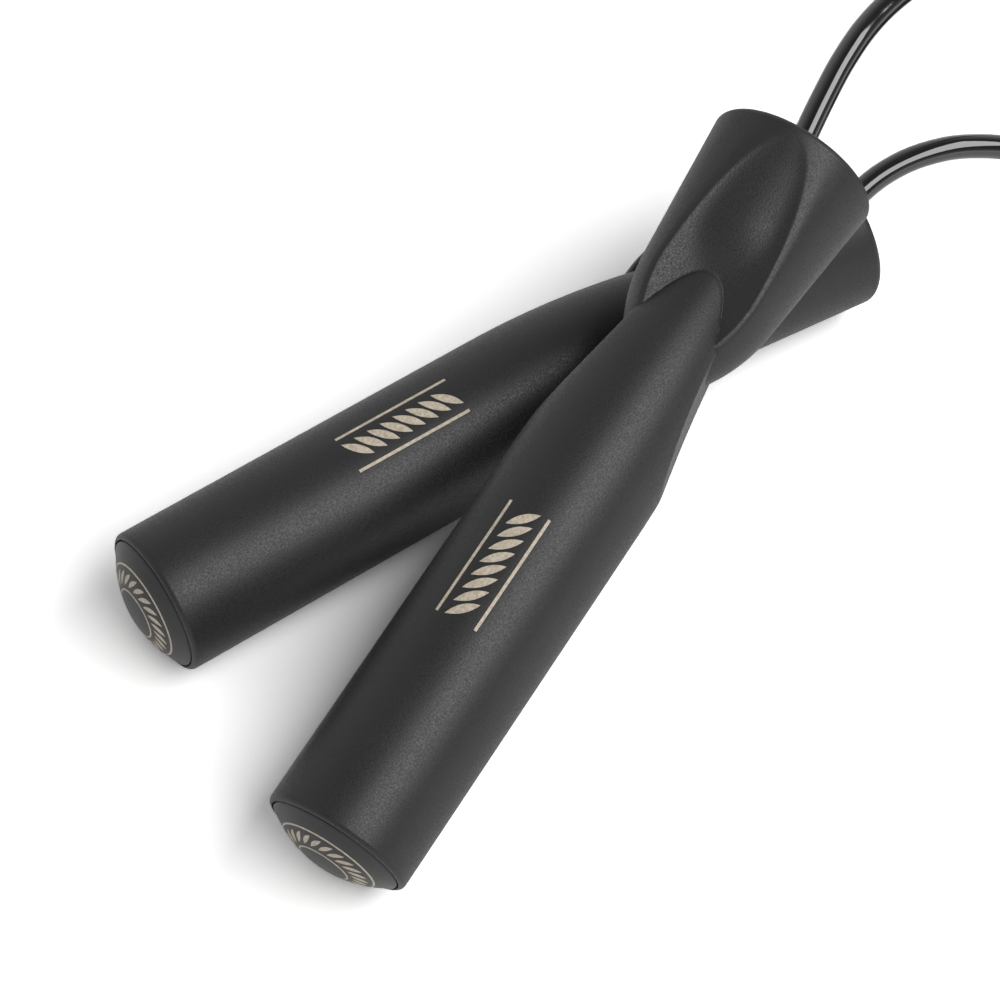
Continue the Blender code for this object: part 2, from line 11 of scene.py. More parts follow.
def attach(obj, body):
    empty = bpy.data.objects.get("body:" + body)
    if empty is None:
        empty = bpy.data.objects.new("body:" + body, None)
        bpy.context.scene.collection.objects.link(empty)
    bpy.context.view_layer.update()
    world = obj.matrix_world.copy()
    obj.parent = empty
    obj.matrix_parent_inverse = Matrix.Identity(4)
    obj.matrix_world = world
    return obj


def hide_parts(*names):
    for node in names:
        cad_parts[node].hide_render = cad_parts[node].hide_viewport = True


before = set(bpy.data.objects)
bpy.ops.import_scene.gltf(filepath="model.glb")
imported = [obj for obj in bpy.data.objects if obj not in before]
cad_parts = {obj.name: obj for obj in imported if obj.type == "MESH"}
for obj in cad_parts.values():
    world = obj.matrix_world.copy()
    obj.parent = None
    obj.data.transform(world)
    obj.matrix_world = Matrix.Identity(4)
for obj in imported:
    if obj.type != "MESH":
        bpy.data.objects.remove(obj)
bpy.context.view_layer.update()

MM = 0.001

# Camera, as the photograph was taken
CAMERA_PLACE = Vector((-0.30539, -0.28774, 0.57349))
CAMERA_TARGET = Vector((-0.00083, 0.00877, 0.0))
CAMERA_LENS = 131.08
CAMERA_SENSOR = 36
CAMERA_CLIP = 0.01

# Studio: one long softbox from the near right, white walls that are brighter on that side, a dim ceiling
SOFTBOX_PLACE = Vector((0.2, -0.68, 0.92))
SOFTBOX_TARGET = Vector((0, 0, 0.03))
SOFTBOX_SIZE = (1.4, 0.76)
SOFTBOX_POWER = 13
NEAR_WALL_LIGHT = 0.9
FAR_WALL_LIGHT = 0.55
NEAR_WALL_SIDE = Vector((0.7, -0.714, 0))
CEILING_LIGHT = 0.12
CEILING_MIDDLE = Vector((0.14, -0.48, 0.86))
CEILING_EDGE = 0.75
FLOOR_HALF_SIZE = 4
FLOOR_HEIGHT = -0.0001
FLOOR_COLOUR = 0.9
FLOOR_SHOWN = 1.7
FLOOR_MIRRORED = 1.0
PLAIN_WHITE_START = 0.3
PLAIN_WHITE_FULL = 0.6

# Handle shell, rear rim at 0 and head rim at HANDLE_LENGTH
HANDLE_LENGTH = 160 * MM
GRIP_RADIUS = 14.5 * MM
REAR_LIP_RADIUS = 1.1 * MM
OGIVE_START = 80 * MM
OGIVE_RADIUS = 195 * MM
HEAD_RADIUS = 17.3 * MM
HEAD_RIM_ROUND = 1.4 * MM
HEAD_HALF_ANGLE = math.radians(5.2)
BULLET_START = 108 * MM
BULLET_TANGENT = 128 * MM
BULLET_RADIUS = 37 * MM
FACET = {
    "height": 87 * MM, "radius": GRIP_RADIUS, "slope": math.radians(-15.6),
    "long": 190 * MM, "cross": 400 * MM,
}
LEAF = {
    "height": 157 * MM, "radius": 17 * MM, "slope": math.radians(22.8),
    "long": 140 * MM, "cross": 28 * MM,
}
LEAF_EDGE = 0.25 * MM
LEAF_LEAST_DEPTH = 0.01 * MM
SCOOP_WIDEST = 0.7
SCOOP_ROUNDS = 40
SCOOP_LEAST_COSINE = 0.05
SCOOP_FARTHEST = 3 * HEAD_RADIUS
CREASE_ROUNDS = 30
EDGE_ROUND = 0.25 * MM
VALLEY_ROUND = 0.2 * MM
CROWN_SHARE = 0.46
CROWN_START = 127 * MM
CROWN_FULL = 140 * MM
PETAL_ROLL_DROP = 0.45 * MM
PETAL_ROLL_REACH = 4 * MM
LOBE_ROLL_DROP = 0.3 * MM
LOBE_ROLL_REACH = 0.8 * MM
RIM_FADE = 6 * MM
ROUND_SPREAD = 0.045
COLUMN_COUNTS = (18, 8, 14, 8, 22)
EVEN_HEIGHTS = (10 * MM, 80 * MM, 157.5 * MM, 160 * MM)
EVEN_SHARES = (1, 0, 0, 1)

# Rows of the shell's mesh, and the radius at which its outside is spun before it is moved into shape
TIP_HEIGHTS = (87 * MM, 112.2 * MM, 117 * MM, 127.3 * MM, 157 * MM)
TIP_REACH = 1 * MM
TIP_ROW_STEP = 0.14 * MM
HEAD_ROW_STEP = 0.5 * MM
GRIP_ROW_STEP = 3 * MM
GRIP_ROWS_END = FACET["height"] - 4 * MM
HEAD_ROWS_END = HANDLE_LENGTH - 1.2 * HEAD_RIM_ROUND
RIM_ROW_GAP = 0.1 * MM
LIP_ANGLES = range(15, 91, 12)
RIM_ANGLES = range(-2, 91, 8)
SPUN_RADIUS = 2 * HEAD_RADIUS
HOLLOW_LIMIT = 1.5 * HEAD_RADIUS

# Hollow of the shell
CAP_SEAT_RADIUS = 13.5 * MM
CAP_SEAT_DEPTH = 3.6 * MM
GRIP_BORE_RADIUS = 12.2 * MM
GRIP_BORE_END = 78 * MM
WAIST_BORE_RADIUS = 6 * MM
WAIST_BORE_START = 103 * MM
STOP_ROOM_START = 134 * MM
STOP_ROOM_RADIUS = 7.4 * MM
BEARING_SEAT_START = 146.4 * MM
BEARING_SEAT_RADIUS = 11.25 * MM
FRONT_RECESS_START = 154 * MM
FRONT_RECESS_RADIUS = 13.4 * MM

# Rear cap and head cap
DOME_HEIGHT = 4.3 * MM
CAP_RADIUS = 13.2 * MM
DOME_RADIUS = (CAP_RADIUS ** 2 + DOME_HEIGHT ** 2) / (2 * DOME_HEIGHT)
CAP_EDGE_ROUND = 0.45 * MM
CAP_FLANGE = 3.3 * MM
PLUG_RADIUS = 11.9 * MM
PLUG_WALL = 1.6 * MM
PLUG_DEPTH = 9 * MM
CAP_FLOOR = 1.6 * MM
HEAD_CAP_RADIUS = 13.1 * MM
HEAD_CAP_START = 154.3 * MM
HEAD_CAP_FRONT = 157.6 * MM
HEAD_CAP_EDGE = 0.8 * MM
COLLAR_RADIUS = 7.6 * MM
COLLAR_FRONT = 158.9 * MM
CORD_WINDOW_RADIUS = 4.9 * MM

# Ball bearing, bush, washer and crimped stop
BEARING_MIDDLE = 150.2 * MM
BEARING_HALF_WIDTH = 3.5 * MM
BEARING_OUTER_RADIUS = 11 * MM
BEARING_BORE_RADIUS = 4 * MM
PITCH_RADIUS = 7.5 * MM
BALL_RADIUS = 1.985 * MM
BALL_COUNT = 7
RACE_GAP = 0.15 * MM
OUTER_LAND_RADIUS = 8.6 * MM
INNER_LAND_RADIUS = 6.35 * MM
RING_CHAMFER = 0.4 * MM
CORD_RADIUS = 2.5 * MM
CORD_HOLE_RADIUS = 2.85 * MM
BUSH_RADIUS = 3.72 * MM
BUSH_FLANGE_RADIUS = 5.7 * MM
BUSH_FLANGE_BACK = 145.1 * MM
BUSH_FLANGE_FRONT = 146.4 * MM
BUSH_FRONT = 158.4 * MM
BUSH_FLARE = 0.5 * MM
WASHER_RADIUS = 6.3 * MM
WASHER_BACK = 143.6 * MM
WASHER_FRONT = 144.8 * MM
WASHER_EASE = 0.15 * MM
STOP_RADIUS = 4.2 * MM
STOP_BACK = 136 * MM
STOP_FRONT = 143.3 * MM
STOP_CRIMP = 0.6 * MM
STOP_COLLAR = 1.7 * MM
STOP_SLOPE = 1 * MM
CORD_TAIL_START = 135.2 * MM
CORD_TAIL_END = 157 * MM

# Where the handles lie: rear rim centre, heading, tilt and roll
HANDLES = {
    "upper": (Vector((-83.91, -30.92, 13.92)) * MM, 10.72, 13.2, 9.8),
    "lower": (Vector((-71.07, 30.96, 14.48)) * MM, -10.98, 0.97, -10.8),
}

# Rope twist print on each grip, and a ring of the same strands on each rear cap
PRINT_MIDDLE = 56 * MM
PRINT_ANGLES = {"upper": math.radians(170), "lower": math.radians(196)}
STRAND_COUNT = 8
STRAND_PITCH = 2.9 * MM
STRAND_LENGTH = 6.6 * MM
STRAND_WIDTH = 1.75 * MM
STRAND_LEAN = math.radians(48)
LINE_LENGTH = 25 * MM
LINE_WIDTH = 0.6 * MM
LINE_OFFSET = 4.2 * MM
RING_STRANDS = 22
RING_RADIUS = 7.4 * MM
RING_SCALE = 0.55
PATCH_SEGMENTS = 18
PRINT_SINK = 0.06 * MM
PRINT_RISE = 0.025 * MM

# The cord's free stretches, from each head to the coil
UPPER_ROUTE_MM = (
    (75.8, 1, 52),
    (81.8, 3, 53.5),
    (87.8, 5, 55),
    (95.3, 7, 56.3),
    (103.3, 8.6, 57),
    (110.8, 9.3, 57),
    (119, 9.8, 55.8),
    (129, 10.5, 52),
    (141, 11.4, 45),
    (154, 12.2, 36.4),
    (166, 12.6, 28.8),
    (176, 12, 23.9),
    (186.4, 9.9, 21),
)
LOWER_ROUTE_MM = (
    (96.8, 0.6, 19.6),
    (105.8, -2.2, 22.6),
    (114.8, -7, 22.9),
    (123.8, -12.8, 20.4),
    (132.6, -19.8, 14.8),
    (140.8, -28.4, 8),
    (147.5, -37.4, 4.3),
)
ROUTE_STEP = 10 * MM
ROUTE_FINENESS = 40
CORD_BEVEL_STEPS = 7
CORD_STEPS = 5

# Coil of the length that is put away, and the strap round it
COIL_CENTRE = Vector((188.3, -31.6, 0)) * MM
COIL_LAYERS = 4
COIL_FULL_TURNS = 14
COIL_START_ANGLE = math.radians(206.7)
COIL_END_ANGLE = math.radians(72)
COIL_OUTER_RADIUS = 38.9 * MM
COIL_PITCH = 5.5 * MM
COIL_LAYER_STEP = 5.6 * MM
COIL_POINTS_PER_TURN = 24
COIL_CLIMB_TURNS = 0.5
COIL_LEAD = 2 * CORD_RADIUS
TIE_ANGLE = math.radians(330)
TIE_THICKNESS = 1 * MM
TIE_WIDTH = 10 * MM
TIE_INNER = 15.9 * MM
TIE_OUTER = 40.6 * MM
TIE_CORNER = 3 * MM
TIE_CLEARANCE = 0.3 * MM
TAB_THICKNESS = 0.8 * MM
TAB_START = 4 * MM
TAB_END = 33 * MM
STITCH_SIZE = (0.62 * MM, 0.2 * MM, 0.16 * MM)
STITCH_PITCH = 1.7 * MM
STITCH_COLUMNS = 5
STITCH_START = TAB_START + 1.2 * MM
STITCH_ACROSS = TIE_WIDTH / 2 - 1.4 * MM
STRAP_SEGMENTS = (110, 10)
STRAP_CORNER_STEPS = 12
STRAP_PROBE = 0.1 * MM
TAB_TIP_SHARE = 0.02

MERGE = 0.000002
TURN_SEGMENTS = 96


def place_of(rear, heading, tilt, roll):
    """Matrix from a handle's own frame, +Z along its axis, to where it lies."""
    aim = Matrix.Rotation(math.radians(heading), 4, "Z")
    lean = Matrix.Rotation(math.radians(90 - tilt), 4, "Y")
    spin = Matrix.Rotation(math.radians(roll), 4, "Z")
    return Matrix.Translation(rear) @ (aim @ lean) @ spin


def arc(centre_radius, centre_height, radius, start, end, steps):
    """Points (radius, height) on a circle from one angle to another, in degrees."""
    points = []
    for i in range(steps + 1):
        angle = math.radians(start + (end - start) * i / steps)
        out = centre_radius + radius * math.cos(angle)
        up = centre_height + radius * math.sin(angle)
        points.append((out, up))
    return points


def spun(profile, segments=TURN_SEGMENTS, bm=None):
    """A bmesh turned about +Z from (radius, height) points, a loop or a chain from axis to axis."""
    if bm is None:
        bm = bmesh.new()
    verts = [bm.verts.new((r, 0, z)) for r, z in profile]
    edges = [bm.edges.new(pair) for pair in zip(verts, verts[1:])]
    if profile[0][0] > 0:
        edges.append(bm.edges.new((verts[-1], verts[0])))
    bmesh.ops.spin(
        bm, geom=verts + edges, cent=(0, 0, 0), axis=(0, 0, 1),
        angle=math.tau, steps=segments, use_merge=True,
    )
    return bm


def closed_mesh(name, bm, sharp=30):
    """A mesh with closed seams, outward faces and edges that are sharp past an angle in degrees."""
    bmesh.ops.remove_doubles(bm, verts=bm.verts, dist=MERGE)
    bmesh.ops.recalc_face_normals(bm, faces=bm.faces)
    mesh = bpy.data.meshes.new(name)
    bm.to_mesh(mesh)
    bm.free()
    mesh.shade_smooth()
    mesh.set_sharp_from_angle(angle=math.radians(sharp))
    return mesh


def add_piece(name, mesh, body, finish, slot, *nodes):
    """A piece that rides on a body, in a finish, in place of CAD nodes."""
    ob = bpy.data.objects.new(name, mesh)
    bpy.context.scene.collection.objects.link(ob)
    mesh.materials.append(finish)
    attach(ob, body)
    if nodes:
        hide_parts(*nodes)
    return ob


# Handle shell

def smooth_min(a, b, round_size):
    """The smaller of two distances, with a small round where they meet."""
    share = np.clip(round_size - np.abs(a - b), 0, None) / round_size
    return np.minimum(a, b) - share * share * round_size / 4


def smooth_max(a, b, round_size):
    """The larger of two distances, with a small round where they meet."""
    return -smooth_min(-a, -b, round_size)


def grip_radius(z):
    """Outside of the grip: rounded rear lip, straight, then the ogive that runs under the head."""
    under = np.clip(REAR_LIP_RADIUS - z, 0, REAR_LIP_RADIUS)
    radius = GRIP_RADIUS - REAR_LIP_RADIUS + np.sqrt(REAR_LIP_RADIUS ** 2 - under ** 2)
    rise = np.clip(z - OGIVE_START, 0, None)
    return radius + np.sqrt(OGIVE_RADIUS ** 2 - rise ** 2) - OGIVE_RADIUS


def head_radius(z):
    """Outside of the head: bullet nose, gentle cone and rounded rim."""
    rise = math.tan(HEAD_HALF_ANGLE)
    cone = HEAD_RADIUS - rise * (HANDLE_LENGTH - z)
    tangent_radius = HEAD_RADIUS - rise * (HANDLE_LENGTH - BULLET_TANGENT)
    below = BULLET_TANGENT + BULLET_RADIUS * math.sin(HEAD_HALF_ANGLE) - z
    bullet = np.sqrt(np.clip(BULLET_RADIUS ** 2 - below ** 2, 0, None))
    bullet = bullet + tangent_radius - BULLET_RADIUS * math.cos(HEAD_HALF_ANGLE)
    past = z - (HANDLE_LENGTH - HEAD_RIM_ROUND)
    rim = np.sqrt(np.clip(HEAD_RIM_ROUND ** 2 - past ** 2, 0, None))
    rim = rim + HEAD_RADIUS - (rise + 1) * HEAD_RIM_ROUND
    radius = np.where(z < BULLET_TANGENT, bullet, cone)
    radius = np.where(past > -HEAD_RIM_ROUND * math.sin(HEAD_HALF_ANGLE), rim, radius)
    return np.where(z < BULLET_START, 0, radius)


def scoop_radius(side, z, scoop):
    """Distance from the axis to a scoop's wall, at an angle from the middle of the scoop."""
    centre_radius = scoop["radius"] + scoop["long"] * math.cos(scoop["slope"])
    centre_height = scoop["height"] - scoop["long"] * math.sin(scoop["slope"])
    radius = np.full(np.shape(side + z), scoop["radius"])
    widest = SCOOP_WIDEST * scoop["cross"]
    for _ in range(SCOOP_ROUNDS):
        across = np.clip(radius * np.sin(side), -widest, widest)
        reach = scoop["long"] - scoop["cross"] + np.sqrt(scoop["cross"] ** 2 - across ** 2)
        wall = centre_radius - np.sqrt(np.clip(reach ** 2 - (z - centre_height) ** 2, 0, None))
        radius = np.clip(wall / np.clip(np.cos(side), SCOOP_LEAST_COSINE, None), 0, SCOOP_FARTHEST)
    return radius


def shell_walls(turn, z):
    """Distances to grip, facet, head and leaf at an angle from the leaf's middle, 0 to 90 degrees."""
    facet = scoop_radius(math.pi / 2 - turn, z, FACET)
    leaf = scoop_radius(turn, z, LEAF)
    return grip_radius(z), facet, head_radius(z), leaf


def leaf_bed(turn, z, head, leaf):
    """Floor of a leaf: a scoop with a crown along its middle that fades out towards the lobe."""
    middle = np.clip(head - scoop_radius(np.zeros_like(turn), z, LEAF), LEAF_LEAST_DEPTH, None)
    depth = np.clip(head - leaf, 0, None)
    share = np.clip((z - CROWN_START) / (CROWN_FULL - CROWN_START), 0, 1)
    share = CROWN_SHARE * share * share * (3 - 2 * share)
    return leaf + share * depth * depth / middle


def rolled(drop, above, reach):
    """How far a wall rolls down where it stands little above its neighbour."""
    return drop * np.clip(1 - np.clip(above, 0, None) / reach, 0, 1) ** 2


def shell_radius(turn, z):
    """Outside of the shell, with rolled edges and small rounds along its creases."""
    grip, facet, head, leaf = shell_walls(turn, z)
    drop = PETAL_ROLL_DROP * np.clip((HANDLE_LENGTH - HEAD_RIM_ROUND - z) / RIM_FADE, 0, 1)
    bed = leaf_bed(turn, z, head, leaf)
    petals = smooth_min(head - rolled(drop, leaf - head, PETAL_ROLL_REACH), bed - drop, EDGE_ROUND)
    lobes = smooth_min(grip, facet, EDGE_ROUND)
    lobes = lobes - rolled(LOBE_ROLL_DROP, lobes - petals, LOBE_ROLL_REACH)
    return smooth_max(lobes, petals, VALLEY_ROUND)


def lobe_shows(turn, z):
    """Where the plain grip is the outer wall."""
    grip, facet, head, leaf = shell_walls(turn, z)
    return (grip <= facet) & (grip >= np.minimum(head, leaf))


def head_hidden(turn, z):
    """Where the plain head isn't the outer wall."""
    grip, facet, head, leaf = shell_walls(turn, z)
    return ~((head <= leaf) & (head >= np.minimum(grip, facet)))


def crease_angle(test, z):
    """Angle up to which a test holds, at each height."""
    low = np.zeros_like(z)
    high = np.full_like(z, math.pi / 2)
    for _ in range(CREASE_ROUNDS):
        middle = (low + high) / 2
        holds = test(middle, z)
        low = np.where(holds, middle, low)
        high = np.where(holds, high, middle)
    return low


def shell_rows():
    """Heights of the rows of the shell's outside, close together at the lip, the rim and the tips."""
    seat = CAP_SEAT_RADIUS - GRIP_RADIUS + REAR_LIP_RADIUS
    rows = [REAR_LIP_RADIUS - math.sqrt(REAR_LIP_RADIUS ** 2 - seat ** 2)]
    rows += [REAR_LIP_RADIUS * (1 - math.cos(math.radians(a))) for a in LIP_ANGLES]
    while rows[-1] < HEAD_ROWS_END:
        nearest = min(abs(rows[-1] - tip) for tip in TIP_HEIGHTS)
        if rows[-1] < GRIP_ROWS_END:
            step = GRIP_ROW_STEP
        elif nearest < TIP_REACH:
            step = TIP_ROW_STEP
        else:
            step = HEAD_ROW_STEP
        rows.append(rows[-1] + step)
    rim = [HANDLE_LENGTH - HEAD_RIM_ROUND * (1 - math.sin(math.radians(a))) for a in RIM_ANGLES]
    return [z for z in rows if z < rim[0] - RIM_ROW_GAP] + rim + [HANDLE_LENGTH]


def column_angles(rows):
    """For each row, the angles of a quadrant's columns: along the creases, and even at both ends."""
    first = crease_angle(lobe_shows, rows)
    second = np.maximum(crease_angle(head_hidden, rows), first)
    right = math.pi / 2
    middle = (first + second) / 2
    marks = np.stack([
        np.zeros_like(rows),
        np.clip(first - ROUND_SPREAD, 0, right),
        np.minimum(first + ROUND_SPREAD, middle),
        np.maximum(second - ROUND_SPREAD, middle),
        np.clip(second + ROUND_SPREAD, 0, right),
        np.full_like(rows, right),
    ])
    stops = np.concatenate([[0], np.cumsum(COLUMN_COUNTS)])
    columns = np.arange(stops[-1] + 1)
    along = np.array([np.interp(columns, stops, marks[:, i]) for i in range(len(rows))])
    even = columns * right / stops[-1]
    share = np.interp(rows, EVEN_HEIGHTS, EVEN_SHARES)[:, None]
    return along * (1 - share) + even * share


def shell_mesh(name):
    """Dense turned shell: columns along the creases, outside moved onto the lobes and leaves."""
    rows = np.array(shell_rows())
    profile = [(SPUN_RADIUS, z) for z in rows] + [
        (FRONT_RECESS_RADIUS, HANDLE_LENGTH),
        (FRONT_RECESS_RADIUS, FRONT_RECESS_START),
        (BEARING_SEAT_RADIUS, FRONT_RECESS_START),
        (BEARING_SEAT_RADIUS, BEARING_SEAT_START),
        (STOP_ROOM_RADIUS, BEARING_SEAT_START),
        (STOP_ROOM_RADIUS, STOP_ROOM_START),
        (WAIST_BORE_RADIUS, STOP_ROOM_START),
        (WAIST_BORE_RADIUS, WAIST_BORE_START),
        (GRIP_BORE_RADIUS, GRIP_BORE_END),
        (GRIP_BORE_RADIUS, CAP_SEAT_DEPTH),
        (CAP_SEAT_RADIUS, CAP_SEAT_DEPTH),
    ]
    quarter = sum(COLUMN_COUNTS)
    bm = spun(profile, 4 * quarter)
    angles = column_angles(rows)
    row_of = {round(z / MERGE): i for i, z in enumerate(rows)}
    for vert in bm.verts:
        x, y, z = vert.co
        column = round(math.atan2(y, x) / math.tau * 4 * quarter) % (4 * quarter)
        side, step = divmod(column, quarter)
        row = row_of.get(round(z / MERGE), 0)
        if side % 2:
            turn = (side + 1) * math.pi / 2 - angles[row][quarter - step]
        else:
            turn = side * math.pi / 2 + angles[row][step]
        radius = math.hypot(x, y)
        if radius < HOLLOW_LIMIT:
            turn = column * math.tau / (4 * quarter)
        vert.co = (radius * math.cos(turn), radius * math.sin(turn), z)
    outer = [vert for vert in bm.verts if math.hypot(vert.co.x, vert.co.y) > HOLLOW_LIMIT]
    places = np.array([vert.co for vert in outer])
    turns = np.arctan2(np.abs(places[:, 1]), np.abs(places[:, 0]))
    share = shell_radius(turns, places[:, 2]) / np.hypot(places[:, 0], places[:, 1])
    for vert, k in zip(outer, share):
        vert.co.x *= k
        vert.co.y *= k
    return closed_mesh(name, bm, sharp=50)


def paint_shell(mesh):
    """The shell with the attribute that its finish reads: how far each point is in a leaf."""
    count = len(mesh.vertices)
    places = np.empty(3 * count)
    mesh.vertices.foreach_get("co", places)
    places = places.reshape(-1, 3)
    turns = np.arctan2(np.abs(places[:, 1]), np.abs(places[:, 0]))
    grip, facet, head, leaf = shell_walls(turns, places[:, 2])
    depth = np.minimum(head - leaf, leaf - np.minimum(grip, facet))
    share = np.clip(depth / LEAF_EDGE, 0, 1)
    mesh.attributes.new("leaf", "FLOAT", "POINT").data.foreach_set("value", share.astype(np.float32))
    return mesh


# Print

def wrapped(bm, carry):
    """Moves a flat bmesh onto a surface: carry takes along, across and lift to a place."""
    for vert in bm.verts:
        vert.co = carry(*vert.co)
    return bm


def add_patch(bm, along, across, turn, length, width, pointed):
    """A flat patch of quads, a lens with two points or a plain bar."""
    verts = bmesh.ops.create_grid(bm, x_segments=PATCH_SEGMENTS, y_segments=2, size=0.5)["verts"]
    for vert in verts:
        taper = 1 - (2 * vert.co.x) ** 2 if pointed else 1
        vert.co = (vert.co.x * length, vert.co.y * width * taper, 0)
    bmesh.ops.rotate(bm, verts=verts, cent=(0, 0, 0), matrix=Matrix.Rotation(turn, 3, "Z"))
    bmesh.ops.translate(bm, verts=verts, vec=(along, across, 0))


def thickened(bm):
    """Flat patches made thin closed films, sunk a little into the surface that carries them."""
    bmesh.ops.remove_doubles(bm, verts=bm.verts, dist=MERGE)
    bmesh.ops.translate(bm, verts=bm.verts, vec=(0, 0, -PRINT_SINK))
    grown = bmesh.ops.extrude_face_region(bm, geom=list(bm.faces))["geom"]
    top = [item for item in grown if isinstance(item, bmesh.types.BMVert)]
    bmesh.ops.translate(bm, verts=top, vec=(0, 0, PRINT_SINK + PRINT_RISE))
    return bm


def grip_print_bm(middle_angle):
    """Rope twist between two fine lines, wrapped on the grip."""
    bm = bmesh.new()
    for i in range(STRAND_COUNT):
        along = (i - (STRAND_COUNT - 1) / 2) * STRAND_PITCH
        add_patch(bm, along, 0, STRAND_LEAN, STRAND_LENGTH, STRAND_WIDTH, True)
    for side in (-1, 1):
        add_patch(bm, 0, side * LINE_OFFSET, 0, LINE_LENGTH, LINE_WIDTH, False)

    def on_grip(along, across, lift):
        angle = middle_angle + across / GRIP_RADIUS
        radius = GRIP_RADIUS + lift
        return radius * math.cos(angle), radius * math.sin(angle), PRINT_MIDDLE + along

    return wrapped(thickened(bm), on_grip)


def cap_print_bm():
    """The same rope twist as a ring between two circles, laid on the rear dome."""
    bm = bmesh.new()
    around = math.tau * RING_RADIUS
    for i in range(RING_STRANDS):
        add_patch(
            bm, around * i / RING_STRANDS, 0, STRAND_LEAN,
            RING_SCALE * STRAND_LENGTH, RING_SCALE * STRAND_WIDTH, True,
        )

    def on_dome(along, across, lift):
        angle = along / RING_RADIUS
        radius = RING_RADIUS + across
        height = DOME_RADIUS - DOME_HEIGHT - math.sqrt(DOME_RADIUS ** 2 - radius ** 2)
        return radius * math.cos(angle), radius * math.sin(angle), height - lift

    wrapped(thickened(bm), on_dome)
    half = RING_SCALE * LINE_WIDTH / 2
    corners = ((-half, -PRINT_SINK), (half, -PRINT_SINK), (half, PRINT_RISE), (-half, PRINT_RISE))
    for side in (-1, 1):
        middle = side * RING_SCALE * LINE_OFFSET
        section = [on_dome(0, middle + across, lift) for across, lift in corners]
        spun([(x, z) for x, _, z in section], bm=bm)
    return bm


# Caps, bearing and cord fittings

def end_cap_profile():
    """Domed plug with a rounded edge, a flange in the shell's seat and a hollow skirt."""
    edge = math.degrees(math.asin((CAP_RADIUS - CAP_EDGE_ROUND) / DOME_RADIUS))
    dome = arc(0, DOME_RADIUS - DOME_HEIGHT, DOME_RADIUS, -90, -90 + edge, 22)
    brim = dome[-1][1] + CAP_EDGE_ROUND
    inner = PLUG_RADIUS - PLUG_WALL
    return [(0, -DOME_HEIGHT)] + dome[1:-1] + arc(
        CAP_RADIUS - CAP_EDGE_ROUND, brim, CAP_EDGE_ROUND, -90 + edge, 0, 5,
    ) + [
        (CAP_RADIUS, CAP_FLANGE),
        (PLUG_RADIUS, CAP_FLANGE),
        (PLUG_RADIUS, PLUG_DEPTH),
        (inner, PLUG_DEPTH),
        (inner, CAP_FLOOR),
        (0, CAP_FLOOR),
    ]


def head_cap_profile():
    """Front cover with a raised, rounded collar round the window that the cord turns in."""
    edge = HEAD_CAP_EDGE
    small = edge / 2
    back = [(CORD_WINDOW_RADIUS, HEAD_CAP_START), (HEAD_CAP_RADIUS, HEAD_CAP_START)]
    rim = arc(HEAD_CAP_RADIUS - edge, HEAD_CAP_FRONT - edge, edge, 0, 90, 6)
    foot = arc(COLLAR_RADIUS + small, HEAD_CAP_FRONT + small, small, 270, 180, 5)
    shoulder = arc(COLLAR_RADIUS - small, COLLAR_FRONT - small, small, 0, 90, 5)
    lip = arc(CORD_WINDOW_RADIUS + small, COLLAR_FRONT - small, small, 90, 180, 5)
    return back + rim + foot + shoulder + lip


def ring_profile(back_radius, land_radius, side):
    """Bearing ring with a round race: side is 1 for the outer ring and -1 for the inner one."""
    race = BALL_RADIUS + RACE_GAP
    half_angle = math.degrees(math.acos(side * (land_radius - PITCH_RADIUS) / race))
    middle = 0 if side > 0 else 180
    reach = side * half_angle
    groove = arc(PITCH_RADIUS, BEARING_MIDDLE, race, middle + reach, middle - reach, 12)
    top = BEARING_MIDDLE + BEARING_HALF_WIDTH
    bottom = BEARING_MIDDLE - BEARING_HALF_WIDTH
    chamfer = back_radius - side * RING_CHAMFER
    return [(land_radius, top)] + groove + [
        (land_radius, bottom),
        (chamfer, bottom),
        (back_radius, bottom + RING_CHAMFER),
        (back_radius, top - RING_CHAMFER),
        (chamfer, top),
    ]


def bush_profile():
    """Flanged sleeve through the bearing's bore, flared where the cord leaves it."""
    flare = BUSH_FLARE
    return [
        (CORD_HOLE_RADIUS, BUSH_FLANGE_BACK),
        (BUSH_FLANGE_RADIUS, BUSH_FLANGE_BACK),
        (BUSH_FLANGE_RADIUS, BUSH_FLANGE_FRONT),
        (BUSH_RADIUS, BUSH_FLANGE_FRONT),
        (BUSH_RADIUS, BUSH_FRONT),
    ] + arc(CORD_HOLE_RADIUS + flare, BUSH_FRONT - flare, flare, 90, 180, 5)


def washer_profile():
    """Plain washer with eased edges."""
    ease = WASHER_EASE
    return [
        (CORD_HOLE_RADIUS, WASHER_BACK),
        (WASHER_RADIUS - ease, WASHER_BACK),
        (WASHER_RADIUS, WASHER_BACK + ease),
        (WASHER_RADIUS, WASHER_FRONT - ease),
        (WASHER_RADIUS - ease, WASHER_FRONT),
        (CORD_HOLE_RADIUS, WASHER_FRONT),
    ]


def stop_profile():
    """Ferrule on the cord's end, waisted by its crimp."""
    waist = STOP_RADIUS - STOP_CRIMP
    shoulder = STOP_COLLAR + STOP_SLOPE
    return [
        (CORD_HOLE_RADIUS, STOP_BACK),
        (STOP_RADIUS, STOP_BACK),
        (STOP_RADIUS, STOP_BACK + STOP_COLLAR),
        (waist, STOP_BACK + shoulder),
        (waist, STOP_FRONT - shoulder),
        (STOP_RADIUS, STOP_FRONT - STOP_COLLAR),
        (STOP_RADIUS, STOP_FRONT),
        (CORD_HOLE_RADIUS, STOP_FRONT),
    ]


